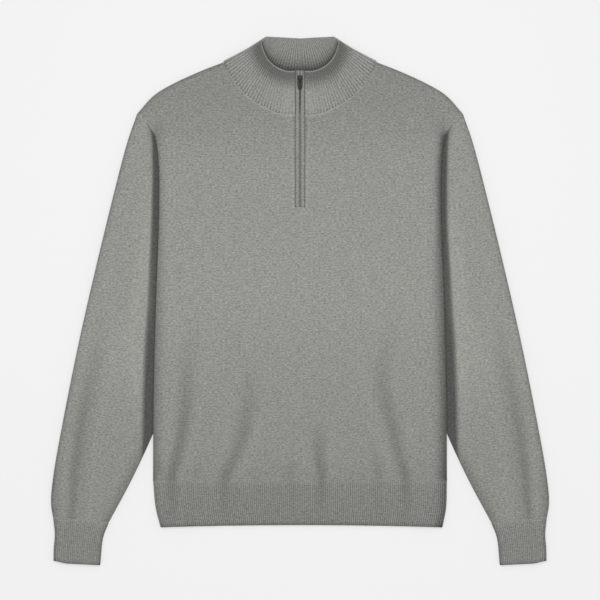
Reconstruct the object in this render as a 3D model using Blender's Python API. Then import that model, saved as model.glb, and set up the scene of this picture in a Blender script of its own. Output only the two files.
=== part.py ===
"""Quarter zip sweater laid face up: fine-knit body and sleeves, ribbed stand collar,
hem and cuffs, and a short zip whose slider carries a hinged pull.

Metres, +Z up. X runs across the shoulders, +Y runs from the hem to the collar, and
Z = 0 is the surface that the sweater lies on. The origin is under the middle of its
outline. The tables below are in millimetres, as a pattern cutter writes them, and each
gives one half: the other half is its mirror image in X = 0.
"""

from collections import namedtuple
from math import cos, exp, pi, radians, sin

import bmesh
import bpy
from mathutils import Matrix, Vector

MM = 0.001

# Cloth
KNIT_WALL = 1.8          # fine stocking-stitch body and sleeves
RIB_WALL = 2.2           # rib of the hem and cuffs
COLLAR_WALL = 3.0        # the collar's rib is folded double
TAPE_WALL = 0.8          # woven zip tape
SEAM_GAP = 0.3           # between pieces at every seam

# Heights above the surface, from the stack of layers
FRONT_TOP = 5.8          # outer face of the front panel where nothing lies under the body
SIDE_TOP = 7.2           # thickness of the body at its rounded sides
SLEEVE_TUCKED = 4.0      # sleeve pressed flat under the body
SLEEVE_FREE = 7.5        # sleeve beside the body
SLEEVE_SET_IN = 5.8      # sleeve at the armhole seam
CUFF_TOP = 6.6
BODY_LIFT = 4.4          # body carried on the tucked sleeve

# Levels along Y
HEM_SEAM_Y = -271.0
HEM_BOTTOM_Y = -336.0
HEM_CORNER_DROP = 4.5
PLACKET_BOTTOM_Y = 139.5

# Placket and zip
SLOT_HALF = 7.3          # half the width cut out of the front and the collar
WELT_OUTER = 6.95        # outer edge of each narrow welt
WELT_INNER = 0.8         # inner edge where the zip is closed under it
WELT_OPEN = 4.3          # inner edge beside the slider
TAPE_INNER = 1.6

Point = namedtuple("Point", "x y")

SHOULDER = (Point(114, 357), Point(152, 342), Point(191, 324), Point(220, 306),
            Point(244.5, 279))
SLIT_TOP = Point(225, 260)   # where the armhole seam meets the slit beside the body
ARMHOLE = (Point(244.5, 279), Point(234.8, 269.5), SLIT_TOP, Point(219.3, 244),
           Point(213.4, 228), Point(190, 160), Point(150, 85), Point(125, 45))
BODY_SIDE = (Point(220.5, -271), Point(219.5, -137), Point(216, 0), Point(212, 110),
             Point(211.5, 190), Point(216, 240), Point(225, 260))
HEM_SIDE = (Point(220.5, -271), Point(217, -310), Point(209.5, -340.5))
SLEEVE_OUTER = (Point(244.5, 279), Point(264, 219), Point(300, 75), Point(333, -69),
                Point(361.5, -213), Point(371.5, -275), Point(373.5, -305), Point(370.5, -326))
SLEEVE_INNER = (Point(125, 45), Point(180, -105), Point(221, -202), Point(252, -268.5),
                Point(287, -334))
CUFF_OUTER = (Point(370.4, -326.4), Point(368, -350), Point(369.5, -372), Point(370, -391.5))
CUFF_INNER = (Point(286.9, -334.4), Point(295.5, -358), Point(299.5, -395))
NECK_FRONT = (Point(SLOT_HALF, 277.2), Point(37, 282), Point(81, 307.5), Point(108.5, 343.5),
              Point(114, 357))
NECK_BACK = (Point(0, 330), Point(60, 337), Point(114, 357))

# Where the body lies on the tucked sleeve: inner edge of the rise and of the full lift
LiftRow = namedtuple("LiftRow", "y starts full")
LIFT = (LiftRow(262, 105, 150), LiftRow(170, 70, 130), LiftRow(45, 45, 80),
        LiftRow(-105, 95, 135), LiftRow(-202, 140, 178), LiftRow(-271, 160, 200))
LIFT_TOP_Y = (242, 262)      # the lift fades out here at the armhole
LIFT_BOTTOM_Y = (-264, -214)   # and here above the hem

# Collar: its front rim from the zip to the fold, the fold itself, and its back rim
RimRow = namedtuple("RimRow", "x y z")
RIM_FRONT = (RimRow(7.6, 342, 36), RimRow(22.5, 342.9, 35), RimRow(36.5, 349.3, 32),
             RimRow(47, 358.6, 27.5), RimRow(53.6, 370, 21.5), RimRow(57, 381.5, 14.5),
             RimRow(58, 389, 9))
FoldRow = namedtuple("FoldRow", "seam_x seam_y seam_z rim_x rim_y rim_z")
COLLAR_FOLD = (FoldRow(114.3, 358.2, 4.2, 55.4, 391.8, 4.4),
               FoldRow(108.6, 356.2, 0, 51.5, 395, 0))
RIM_BACK = (RimRow(51.5, 395, 0), RimRow(27, 394, 0), RimRow(0, 392.4, 0))
COLLAR_SEAM_TOP = (5.8, 8.0)   # outer face at the seam: beside the zip, and at the fold
COLLAR_ROWS = 6
COLLAR_RISE = 1.6        # the front band lies back at the seam and steepens to the rim

# Soft folds pressed into the cloth: a trough along a line, with a swell beside it
Fold = namedtuple("Fold", "top_x top_y mid_x mid_y low_x low_y width depth")
BODY_FOLDS = (
    Fold(-159, -21, -173, -150, -183, -262, 17, 1.2),
    Fold(-70, -78, -84, -170, -118, -268, 16, 1.0),
    Fold(27, -180, 27, -230, 24, -268, 13, 0.7),
    Fold(157, 0, 127, -95, 150, -262, 18, 1.2),
)
SLEEVE_FOLD = Fold(28, 0, 28, -160, 30, -322, 11, 1.3)   # x is the distance in from the edge
FOLD_LIMIT = (180, 205)  # half width over which the body's folds fade out
SIDE_SWELL = (120, 200)  # half width over which the body thickens to its rounded side
SIDE_SPAN = 205          # half width used to place the columns of the rounded side

# Slider and pull
SLIDER_Y = 331.5
SLIDER_LENGTH = 9.5
SLIDER_HALF = 3.5
PLATE = 1.1
PLATE_DEPTH = 0.2        # top plate's face below the welts' face
BAIL_HALF = 0.8
PIN_RADIUS = 0.55
PIN_ALONG = -1.5         # pin's place along the slider, towards the hem
PIN_HEIGHT = 0.9         # pin's centre above the top plate
PULL_TILT = 3.5          # degrees that the resting pull stands off the slider's slope
PULL_LENGTH = 16.5
PULL_HALF = 2.5
PULL_THICK = 1.0

Look = namedtuple("Look", "colour roughness metallic")
LOOKS = {
    "knit": Look((0.265, 0.265, 0.235, 1), 0.92, 0.0),
    "rib": Look((0.240, 0.240, 0.213, 1), 0.92, 0.0),
    "tape": Look((0.165, 0.160, 0.165, 1), 0.85, 0.0),
    "gunmetal": Look((0.070, 0.070, 0.078, 1), 0.32, 1.0),
}


# ---------------------------------------------------------------- curves and heights

def smooth(x):
    """Soft step: 0 up to 0, 1 from 1 on."""
    x = min(1.0, max(0.0, x))
    return x * x * (3 - 2 * x)


def mix(a, b, t):
    return a + (b - a) * t


def step_between(limits, x):
    """Soft step from 0 at the first limit to 1 at the second."""
    return smooth((x - limits[0]) / (limits[1] - limits[0]))


def spline_point(p0, p1, p2, p3, t):
    """Catmull-Rom point between p1 and p2."""
    return 0.5 * ((2 * p1) + (p2 - p0) * t + (2 * p0 - 5 * p1 + 4 * p2 - p3) * t * t
                  + (3 * p1 - p0 - 3 * p2 + p3) * t * t * t)


def spline_rows(rows, steps):
    """Points on a smooth curve through the rows, with steps[i] steps after row i."""
    points = [Vector(row) for row in rows]
    points = [2 * points[0] - points[1]] + points + [2 * points[-1] - points[-2]]
    found = []
    for i, count in enumerate(steps):
        for k in range(count):
            found.append(spline_point(*points[i:i + 4], k / count))
    return found + [points[-2]]


class Line:
    """A smooth line through a table's points, read by its share of length or by Y."""

    def __init__(self, rows, fine=12):
        self.points = spline_rows(rows, [fine] * (len(rows) - 1))
        self.reach = [0.0]
        for a, b in zip(self.points, self.points[1:]):
            self.reach.append(self.reach[-1] + (b - a).length)

    def at(self, share):
        goal = share * self.reach[-1]
        for i in range(1, len(self.points)):
            if goal <= self.reach[i] or i == len(self.points) - 1:
                span = self.reach[i] - self.reach[i - 1]
                return self.points[i - 1].lerp(self.points[i], (goal - self.reach[i - 1]) / span)

    def x_at(self, y):
        low, high = sorted((self.points[0], self.points[-1]), key=lambda p: p.y)
        if y <= low.y:
            return low.x
        if y >= high.y:
            return high.x
        for a, b in zip(self.points, self.points[1:]):
            if min(a.y, b.y) <= y <= max(a.y, b.y):
                return mix(a.x, b.x, (y - a.y) / (b.y - a.y))

    def outward(self, share):
        """Unit plan direction square to the line, to the left of its run."""
        run = (self.at(min(1, share + 0.01)) - self.at(max(0, share - 0.01))).normalized()
        return Vector((-run.y, run.x))


shoulder = Line(SHOULDER)
armhole = Line(ARMHOLE)
body_side = Line(BODY_SIDE)
hem_side = Line(HEM_SIDE)
ARMHOLE_SHOWS = armhole.reach[24] / armhole.reach[-1]   # its share down to the slit
sleeve_outer = Line(SLEEVE_OUTER)
sleeve_inner = Line(SLEEVE_INNER)


def table_value(rows, y, column):
    """A column of a table read at Y, straight between its rows, which run downwards."""
    if y >= rows[0].y:
        return getattr(rows[0], column)
    for upper, lower in zip(rows, rows[1:]):
        if y >= lower.y:
            share = (upper.y - y) / (upper.y - lower.y)
            return mix(getattr(upper, column), getattr(lower, column), share)
    return getattr(rows[-1], column)


def lift(x, y):
    """How far the tucked sleeve carries the body off the surface."""
    starts = table_value(LIFT, y, "starts")
    full = table_value(LIFT, y, "full")
    low = step_between(LIFT_BOTTOM_Y, y)
    return BODY_LIFT * step_between((starts, full), abs(x)) * side_hold(y) * low


def fold_height(fold, x, y):
    """Height of one fold at a place: below zero in its trough, above it beside it."""
    if y > fold.mid_y:
        share = (y - fold.mid_y) / (fold.top_y - fold.mid_y)
        centre = mix(fold.mid_x, fold.top_x, share)
        strength = 1 - smooth(share)
    else:
        share = (fold.mid_y - y) / (fold.mid_y - fold.low_y)
        centre = mix(fold.mid_x, fold.low_x, share)
        strength = 1.0
    away = (x - centre) / fold.width
    return -fold.depth * strength * (1 - 0.8 * away * away) * exp(-away * away)


def side_hold(y):
    """How far the body's side is a rounded fold: none where the armhole seam begins."""
    return 1 - step_between(LIFT_TOP_Y, y)


def body_top(x, y):
    """Outer face of the front of the body."""
    side = step_between(SIDE_SWELL, abs(x)) * side_hold(y)
    folds = sum(fold_height(fold, x, y) for fold in BODY_FOLDS)
    shown = 1 - step_between(FOLD_LIMIT, abs(x))
    return lift(x, y) + mix(FRONT_TOP, SIDE_TOP, side) + folds * shown


# ---------------------------------------------------------------- meshes

def finish_mesh(name, bm, look, place=None):
    """Makes the closed bmesh, in millimetres, a named object with its own material."""
    bmesh.ops.scale(bm, vec=(MM, MM, MM), verts=bm.verts)
    mesh = bpy.data.meshes.new(name)
    bm.to_mesh(mesh)
    bm.free()
    mesh.shade_smooth()
    mesh.set_sharp_from_angle(angle=radians(40))
    material = bpy.data.materials.new(name)
    material.use_nodes = True
    shader = material.node_tree.nodes["Principled BSDF"]
    shader.inputs["Base Color"].default_value = LOOKS[look].colour
    shader.inputs["Roughness"].default_value = LOOKS[look].roughness
    shader.inputs["Metallic"].default_value = LOOKS[look].metallic
    mesh.materials.append(material)
    thing = bpy.data.objects.new(name, mesh)
    bpy.context.scene.collection.objects.link(thing)
    if place is not None:
        thing.matrix_world = place
    return thing


def wall(outer, inner, around=False, skip=lambda row, column: False):
    """Closed wall between two grids of points, outer and inner. With around set, each
    row of the grid closes on itself. skip leaves cells of the grid open."""
    bm = bmesh.new()
    grids = [[[bm.verts.new(p) for p in row] for row in grid] for grid in (outer, inner)]
    rows, columns = len(outer), len(outer[0])
    last = columns if around else columns - 1
    border = {}
    for r in range(rows - 1):
        for c in range(last):
            if skip(r, c):
                continue
            d = (c + 1) % columns
            corners = [(r, c), (r, d), (r + 1, d), (r + 1, c)]
            bm.faces.new([grids[0][i][j] for i, j in corners])
            bm.faces.new([grids[1][i][j] for i, j in reversed(corners)])
            for a, b in zip(corners, corners[1:] + corners[:1]):
                if (b, a) in border:
                    del border[(b, a)]
                else:
                    border[(a, b)] = True
    for a, b in border:
        bm.faces.new([grids[0][b[0]][b[1]], grids[0][a[0]][a[1]],
                      grids[1][a[0]][a[1]], grids[1][b[0]][b[1]]])
    loose = [v for v in bm.verts if not v.link_faces]
    bmesh.ops.delete(bm, geom=loose, context="VERTS")
    bmesh.ops.recalc_face_normals(bm, faces=bm.faces)
    return bm


# ---------------------------------------------------------------- body panels

Panel = namedtuple("Panel", "face wall roll_side roll_shoulder start neck neck_columns"
                            " shoulder_columns low_rows high_rows roll_steps")
NECK_SHARE = 0.42        # share of the half width at the neck point
SLIT_LEVEL = 0.785       # level of the slit's top, from 0 at the placket's foot to 1

FRONT = Panel("front", KNIT_WALL, 4.0, 2.8, SLOT_HALF, Line(NECK_FRONT), 6, 6, 10, 5, 2)
BACK = Panel("back", KNIT_WALL, 2.9, 2.5, 0.0, Line(NECK_BACK), 4, 5, 10, 5, 2)


def shares(panel):
    """Column places across half a panel, 0 at the middle and 1 at the side fold, each
    with the angle that it has on the rounded side."""
    found = [(NECK_SHARE * i / panel.neck_columns, 90) for i in range(panel.neck_columns)]
    found += [(mix(NECK_SHARE, 1, i / panel.shoulder_columns), 90)
              for i in range(panel.shoulder_columns)]
    for step in range(panel.roll_steps + 1):
        angle = 90 * (1 - step / panel.roll_steps)
        inset = panel.roll_side * (1 - cos(radians(angle)))
        found.append((1 - inset / SIDE_SPAN, angle))
    return found


def top_edge(panel, share):
    """Point of the panel's upper edge and the plan direction out of it."""
    if share <= NECK_SHARE:
        along = share / NECK_SHARE
        return panel.neck.at(along), panel.neck.outward(along)
    along = (share - NECK_SHARE) / (1 - NECK_SHARE)
    return shoulder.at(along), shoulder.outward(along)


def side_edge(level):
    """Point of the side fold, and above the slit of the armhole seam, at a level."""
    if level <= SLIT_LEVEL:
        y = mix(PLACKET_BOTTOM_Y, SLIT_TOP.y, level / SLIT_LEVEL)
        return Vector((body_side.x_at(y), y))
    return armhole.at((1 - level) / (1 - SLIT_LEVEL) * ARMHOLE_SHOWS)


def upper_place(panel, share, level):
    """Plan place above the placket's bottom: a patch between its four edges."""
    low_corner, tip = side_edge(0), Vector(SHOULDER[-1])
    bottom = Vector((mix(panel.start, low_corner.x, share), PLACKET_BOTTOM_Y))
    across = bottom.lerp(top_edge(panel, share)[0], level)
    return across + (side_edge(level) - low_corner.lerp(tip, level)) * share


def panel_point(panel, side, plan, side_angle, shoulder_angle, outward):
    """Outer and inner points of the wall over a plan place, bent down round its edges.
    The plan is of the +X half, and side is -1 for its mirror image."""
    x, y = plan
    held = side_hold(y)
    bend = (1 - sin(radians(side_angle))) * panel.roll_side * held
    bend += (1 - sin(radians(shoulder_angle))) * panel.roll_shoulder
    inward = Vector((-cos(radians(side_angle)) * held, 0, 0))
    inward -= Vector((outward.x, outward.y, 0)) * cos(radians(shoulder_angle))
    level = min(sin(radians(side_angle)) + 1 - held, sin(radians(shoulder_angle)), 1)
    up = 1 if panel.face == "front" else -1
    inward.z = -up * level
    surface = body_top(side * x, y) if panel.face == "front" else lift(x, y)
    outer = Vector((x, y, surface - up * bend))
    inner = outer + inward.normalized() * panel.wall
    outer.x, inner.x = side * outer.x, side * inner.x
    return outer, inner


def panel_rows(panel, side):
    """Half rows of outer and inner points, from the hem seam to the neck and shoulders."""
    columns = shares(panel)
    rows = []
    for i in range(panel.low_rows):
        y = mix(HEM_SEAM_Y, PLACKET_BOTTOM_Y, i / panel.low_rows)
        side_x = body_side.x_at(y)
        rows.append([panel_point(panel, side, (mix(panel.start, side_x, share), y), angle,
                                 90, Vector((0, 1))) for share, angle in columns])
    levels = [(i / panel.high_rows, 90) for i in range(panel.high_rows)]
    levels += [(1, 90 * (1 - step / panel.roll_steps)) for step in range(panel.roll_steps + 1)]
    for level, edge_angle in levels:
        row = []
        for share, angle in columns:
            edge, outward = top_edge(panel, share)
            reach = edge.y - PLACKET_BOTTOM_Y
            inset = panel.roll_shoulder * (1 - cos(radians(edge_angle))) / reach
            start_of_roll = 1 - panel.roll_shoulder / reach
            up = level * start_of_roll if level < 1 else 1 - inset
            rolls = share > NECK_SHARE
            row.append(panel_point(panel, side, upper_place(panel, share, up), angle,
                                   edge_angle if rolls else 90, outward))
        rows.append(row)
    return rows


def whole_grid(half_rows):
    """Two whole grids, outer and inner, from a function that gives one side's half rows."""
    grids = ([], [])
    for left, right in zip(half_rows(-1), half_rows(1)):
        shared = 1 if abs(right[0][0].x) < 1e-6 else 0
        row = left[shared:][::-1] + right
        for grid, place in zip(grids, (0, 1)):
            grid.append([pair[place] for pair in row])
    return grids


def make_front():
    outer, inner = whole_grid(lambda side: panel_rows(FRONT, side))
    middle = len(outer[0]) // 2 - 1
    bm = wall(outer, inner, skip=lambda r, c: c == middle and r >= FRONT.low_rows)
    return finish_mesh("front_panel", bm, "knit")


def make_back():
    grids = whole_grid(lambda side: panel_rows(BACK, side))
    return finish_mesh("back_panel", wall(*grids), "knit")


def make_hem(name, panel, height_rows=3):
    """One half of the hem's rib: it carries on from its panel, 0.3 mm below the seam."""
    hem = panel._replace(wall=RIB_WALL, start=0.0)

    def half_rows(side):
        rows = []
        for i in range(height_rows + 1):
            row = []
            for share, angle in shares(hem):
                bottom = HEM_BOTTOM_Y - HEM_CORNER_DROP * share * share
                y = mix(HEM_SEAM_Y - SEAM_GAP, bottom, i / height_rows)
                row.append(panel_point(hem, side, (hem_side.x_at(y) * share, y), angle, 90,
                                       Vector((0, 1))))
            rows.append(row)
        return rows

    return finish_mesh(name, wall(*whole_grid(half_rows)), "rib")


# ---------------------------------------------------------------- sleeves and cuffs

class Ring:
    """A straight or bent line across a flat tube, from its outer edge to its inner one."""

    def __init__(self, outer_end, inner_end, bend=None):
        self.outer_end = Vector(outer_end)
        self.inner_end = Vector(inner_end)
        self.width = (self.inner_end - self.outer_end).length
        self.bend = bend

    def at(self, distance):
        share = distance / self.width
        place = self.outer_end.lerp(self.inner_end, share)
        return place + self.bend(share) if self.bend else place

    def loops(self, tops, wall_size):
        """Outer and inner loops of points: tops are (distance, height) pairs from edge to
        edge, whose first and last give the height of the rounded edges."""
        found = []
        for inset in (0.0, wall_size):
            ends = []
            for edge, sign, height in ((0.0, 1, tops[0][1]), (self.width, -1, tops[-1][1])):
                radius = height / 2 - inset
                centre = edge + sign * height / 2
                arc = [(centre - sign * radius * cos(radians(a)),
                        height / 2 + radius * sin(radians(a))) for a in (-90, -45, 0, 45, 90)]
                ends.append(arc if sign > 0 else arc[::-1])
            upper = [(d, h - inset) for d, h in tops[1:-1]]
            lower = [(d, inset) for d, h in reversed(tops[1:-1])]
            flat = ends[0] + upper + ends[1] + lower
            found.append([Vector((self.at(d).x, self.at(d).y, h)) for d, h in flat])
        return found


SLEEVE_RINGS = 14
VALLEY = 10.0            # width of the dip between the sleeve's swell and the body
VALLEY_FLOOR = 6.0       # the dip's floor, counted from the body's edge


def free_of_body(place):
    """0 where the sleeve is pressed under the body, 1 where it lies free beside it."""
    away = place.x - body_side.x_at(place.y)
    above_slit = smooth((place.y - SLIT_TOP.y + VALLEY) / VALLEY)
    return max(above_slit, smooth((away - VALLEY_FLOOR) / VALLEY))


def sleeve_tops(ring, down):
    """Upper heights across one ring: rounded edge, fold, swell, dip and tucked part."""
    full = mix(SLEEVE_SET_IN, SLEEVE_FREE, smooth(down / 0.12))
    full = mix(full, CUFF_TOP, smooth((down - 0.85) / 0.15))
    first, last = full / 2, ring.width - SLEEVE_FREE / 2
    crossing = last
    for step in range(200):
        place = ring.at(ring.width * step / 200)
        if place.x < body_side.x_at(place.y):
            crossing = min(last, ring.width * step / 200)
            break
    dip = [max(first + 4, crossing - VALLEY_FLOOR - VALLEY * k) for k in (1.0, 0.5, 0.0)]
    places = [mix(first, dip[0], k / 5) for k in range(1, 5)]
    places += dip + [max(crossing, dip[2] + 1), mix(max(crossing, dip[2] + 1), last, 0.6)]
    tops = []
    for distance in places:
        place = ring.at(distance)
        fold = fold_height(SLEEVE_FOLD, distance, place.y)
        tops.append((distance, mix(SLEEVE_TUCKED, full + fold, free_of_body(place))))
    inner_height = mix(SLEEVE_TUCKED, full, free_of_body(ring.at(ring.width)))
    return [(0, full)] + tops + [(ring.width, inner_height)]


def make_sleeve(name, side):
    """One sleeve: a tube from the armhole to the cuff seam, its inner part under the body."""
    loops = []
    for index in range(SLEEVE_RINGS):
        down = index / (SLEEVE_RINGS - 1)
        fade = 1 - smooth(down / 0.3)

        def bend(share, fade=fade):
            straight = Vector(ARMHOLE[0]).lerp(Vector(ARMHOLE[-1]), share)
            clear = armhole.outward(share) * 2 * SEAM_GAP
            return (armhole.at(share) + clear - straight) * fade

        ring = Ring(sleeve_outer.at(down), sleeve_inner.at(down), bend)
        loops.append(ring.loops(sleeve_tops(ring, down), KNIT_WALL))
    return finish_tube(name, loops, side, "knit")


def finish_tube(name, loops, side, look):
    outer = [[Vector((p.x * side, p.y, p.z)) for p in loop[0]] for loop in loops]
    inner = [[Vector((p.x * side, p.y, p.z)) for p in loop[1]] for loop in loops]
    return finish_mesh(name, wall(outer, inner, around=True), look)


def make_cuff(name, side, rings=4, columns=4):
    """One cuff: a short ribbed tube, 0.3 mm below the sleeve's edge."""
    outer_line, inner_line = Line(CUFF_OUTER), Line(CUFF_INNER)
    loops = []
    for index in range(rings):
        ring = Ring(outer_line.at(index / (rings - 1)), inner_line.at(index / (rings - 1)))
        tops = [(ring.width * k / columns, CUFF_TOP) for k in range(columns + 1)]
        loops.append(ring.loops(tops, RIB_WALL))
    return finish_tube(name, loops, side, "rib")


# ---------------------------------------------------------------- collar

def collar_point(seam, rim, level):
    """Outer face of the collar: straight in plan, and curved up to the rim."""
    plan = seam.lerp(rim, level)
    plan.z = mix(seam.z, rim.z, level ** COLLAR_RISE)
    return plan


def collar_stations():
    """Seam and rim points side by side, from the zip round to the middle of the back."""
    rim_front, rim_back = Line(RIM_FRONT), Line(RIM_BACK)
    stations = []
    for k in range(FRONT.neck_columns + 1):
        along = k / FRONT.neck_columns
        plan = FRONT.neck.at(along) + FRONT.neck.outward(along) * 1.6 * SEAM_GAP
        height = mix(*COLLAR_SEAM_TOP, along * along)
        stations.append((Vector((max(plan.x, 7.6), plan.y, height)), rim_front.at(along)))
    for row in COLLAR_FOLD:
        stations.append((Vector(row[:3]), Vector(row[3:])))
    for k in range(BACK.neck_columns - 1, -1, -1):
        plan = BACK.neck.at(k / BACK.neck_columns) + Vector((0, 2 * SEAM_GAP))
        stations.append((Vector((plan.x, plan.y, 0)),
                         rim_back.at(1 - k / BACK.neck_columns)))
    return stations


def make_collar():
    """The stand collar, one band from one side of the zip round the neck to the other."""
    stations = collar_stations()
    outer = []
    for row in range(COLLAR_ROWS + 1):
        half = [collar_point(seam, rim, row / COLLAR_ROWS) for seam, rim in stations]
        outer.append(half + [Vector((-p.x, p.y, p.z)) for p in reversed(half[:-1])])
    inner = []
    for r, row in enumerate(outer):
        inside = []
        for c, point in enumerate(row):
            along = row[min(c + 1, len(row) - 1)] - row[max(c - 1, 0)]
            up = outer[min(r + 1, COLLAR_ROWS)][c] - outer[max(r - 1, 0)][c]
            if c in (0, len(row) - 1):
                along.y = along.z = 0
            inside.append(point - along.cross(up).normalized() * COLLAR_WALL)
        inner.append(inside)
    return finish_mesh("collar", wall(outer, inner), "rib")


# ---------------------------------------------------------------- zip

def zip_line(y):
    """Height and slope of the middle of the front and collar at Y."""
    seam_y, rim = NECK_FRONT[0].y, RIM_FRONT[0]
    if y <= seam_y:
        return FRONT_TOP, 0.0
    share = (y - seam_y) / (rim.y - seam_y)
    rise = rim.z - FRONT_TOP
    slope = rise * COLLAR_RISE * share ** (COLLAR_RISE - 1) / (rim.y - seam_y)
    return FRONT_TOP + rise * share ** COLLAR_RISE, slope


def zip_levels():
    """Places along the placket: wide steps on the panel and close ones on the collar."""
    bottom, seam, rim = PLACKET_BOTTOM_Y + SEAM_GAP, NECK_FRONT[0].y, RIM_FRONT[0].y
    return [mix(bottom, seam, k / 4) for k in range(4)] + [mix(seam, rim, k / 12)
                                                           for k in range(13)]


def strip(name, side, inner_edge, outer_edge, top, thick, look):
    """A flat strip beside the zip: between two X edges, top below the cloth's face."""
    faces = ([], [])
    for y in zip_levels():
        height, slope = zip_line(y)
        normal = Vector((0, -slope, 1)).normalized()
        for face, depth in zip(faces, (top, top + thick)):
            row = [Vector((side * x, y, height)) - normal * depth
                   for x in (inner_edge(y), outer_edge)]
            face.append(row)
    return finish_mesh(name, wall(*faces), look)


def welt_inner(y):
    """The welts meet over the closed zip and part round the slider."""
    return mix(WELT_INNER, WELT_OPEN, smooth((y - 306) / 12))


def hardware_frame():
    """Frame on the cloth's face at the slider: Y up the zip, Z out of the cloth."""
    height, slope = zip_line(SLIDER_Y)
    along = Vector((0, 1, slope)).normalized()
    out = Vector((0, -slope, 1)).normalized()
    frame = Matrix((Vector((1, 0, 0)), along, out)).transposed().to_4x4()
    frame.translation = Vector((0, SLIDER_Y, height)) * MM
    return frame


def prism(bm, outline, low, high, axis):
    """Adds a solid: an outline extruded from low to high along Z or X."""
    place = (lambda a, b, c: (a, b, c)) if axis == "z" else (lambda a, b, c: (c, a, b))
    bottom = [bm.verts.new(place(a, b, low)) for a, b in outline]
    face = bm.faces.new(bottom)
    made = bmesh.ops.extrude_face_region(bm, geom=[face])["geom"]
    shift = Vector(place(0, 0, high - low))
    moved = [v for v in made if isinstance(v, bmesh.types.BMVert)]
    bmesh.ops.translate(bm, vec=shift, verts=moved)
    bmesh.ops.recalc_face_normals(bm, faces=bm.faces)


def solid(name, outline, low, high, axis, bevel):
    """A guide solid for the slider's union, in the slider's own frame."""
    bm = bmesh.new()
    prism(bm, outline, low, high, axis)
    if bevel:
        bmesh.ops.bevel(bm, geom=bm.edges[:], offset=bevel, segments=2, profile=0.5,
                        affect="EDGES", material=-1)
    thing = finish_mesh(name, bm, "gunmetal", hardware_frame())
    thing.hide_render = True
    thing.display_type = "WIRE"
    return thing


def make_slider():
    """Two plates joined by a wedge at the top, with a bail over the upper plate."""
    half, length = SLIDER_HALF, SLIDER_LENGTH / 2
    shield = [(-half, length - 1.2), (-half + 1, length), (half - 1, length), (half, length - 1.2),
              (half, 0.4), (half - 0.9, -length), (-half + 0.9, -length), (-half, 0.4)]
    top = -PLATE_DEPTH
    tape_top = top - PLATE
    low_plate = -KNIT_WALL - SEAM_GAP - TAPE_WALL - SEAM_GAP
    wedge = [(-1, length - 1), (1, length - 1), (0.8, 1.2), (-0.8, 1.2)]
    bail = [(-3.7, -0.3), (-3.5, 1.5), (-2.6, 2.3), (2.6, 2.3), (3.5, 1.5), (3.7, -0.3),
            (2.9, -0.3), (2.7, 1.2), (2.2, 1.6), (-2.2, 1.6), (-2.7, 1.2), (-2.9, -0.3)]
    guides = [
        solid("guide_low_plate", shield, low_plate - PLATE, low_plate, "z", 0.25),
        solid("guide_wedge", wedge, low_plate - 0.3, tape_top + 0.3, "z", 0),
        solid("guide_bail", bail, -BAIL_HALF, BAIL_HALF, "x", 0),
    ]
    slider = solid("zip_slider", shield, tape_top, top, "z", 0.25)
    slider.hide_render = False
    slider.display_type = "TEXTURED"
    for guide in guides:
        union = slider.modifiers.new(guide.name, "BOOLEAN")
        union.operation = "UNION"
        union.solver = "EXACT"
        union.object = guide
    return slider


def pull_frame():
    """Frame on the pin's axis: X along the pin, Y from the pull's end to its pin."""
    frame = hardware_frame()
    pin = Vector((0, PIN_ALONG, PIN_HEIGHT - PLATE_DEPTH)) * MM
    return frame @ Matrix.Translation(pin) @ Matrix.Rotation(radians(-PULL_TILT), 4, "X")


def make_pull():
    """The pull: a pin under the bail, two arms beside it and a tab with a rounded end."""
    arm_in, arm_out = 1.2, 2.0
    eye = 4.4
    end = PULL_LENGTH
    half = PULL_HALF
    tab_side = [(half * 0.9, -eye - 0.6), (half, -end + 1.6), (half - 0.7, -end + 0.4),
                (half - 1.6, -end)]
    bm = bmesh.new()
    outline = [(arm_out, 0.6), (arm_out, -eye + 1.0)] + tab_side
    outline += [(-x, y) for x, y in reversed(outline)]
    hole = [(-arm_in, 0.6), (-arm_in, -eye), (arm_in, -eye), (arm_in, 0.6)]
    prism(bm, outline + hole, -PULL_THICK / 2, PULL_THICK / 2, "z")
    bmesh.ops.triangulate(bm, faces=[f for f in bm.faces if len(f.verts) > 4])
    pull = finish_mesh("zip_pull", bm, "gunmetal", pull_frame())
    pin_bm = bmesh.new()
    bmesh.ops.create_cone(pin_bm, cap_ends=True, segments=12, radius1=PIN_RADIUS,
                          radius2=PIN_RADIUS, depth=2 * arm_out - 0.4,
                          matrix=Matrix.Rotation(pi / 2, 4, "Y"))
    pin = finish_mesh("guide_pin", pin_bm, "gunmetal", pull_frame())
    pin.hide_render = True
    pin.display_type = "WIRE"
    union = pull.modifiers.new("pin", "BOOLEAN")
    union.operation = "UNION"
    union.solver = "EXACT"
    union.object = pin
    return pull


# ---------------------------------------------------------------- the sweater

def main():
    for thing in list(bpy.data.objects):
        bpy.data.objects.remove(thing)
    make_front()
    make_back()
    make_hem("hem_rib_front", FRONT)
    make_hem("hem_rib_back", BACK)
    for name, side in (("left", -1), ("right", 1)):
        make_sleeve("sleeve_" + name, side)
        make_cuff("cuff_" + name, side)
        strip("zip_welt_" + name, side, welt_inner, WELT_OUTER, 0.0, KNIT_WALL, "rib")
        strip("zip_tape_" + name, side, lambda y: TAPE_INNER, WELT_OUTER,
              KNIT_WALL + SEAM_GAP, TAPE_WALL, "tape")
    make_collar()
    make_slider()
    make_pull()


main()
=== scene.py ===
"""Quarter zip sweater laid face up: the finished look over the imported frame.

Metres in the meshes, +Z up. The tables and heights are in millimetres, as a pattern
cutter writes them. Each outline gives one half of the sweater, and the creases are given
where they lie.
"""

from collections import namedtuple
from math import atan2, cos, pi, radians, sin

import bmesh
import bpy
import numpy as np
from mathutils import Matrix, Vector


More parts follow.
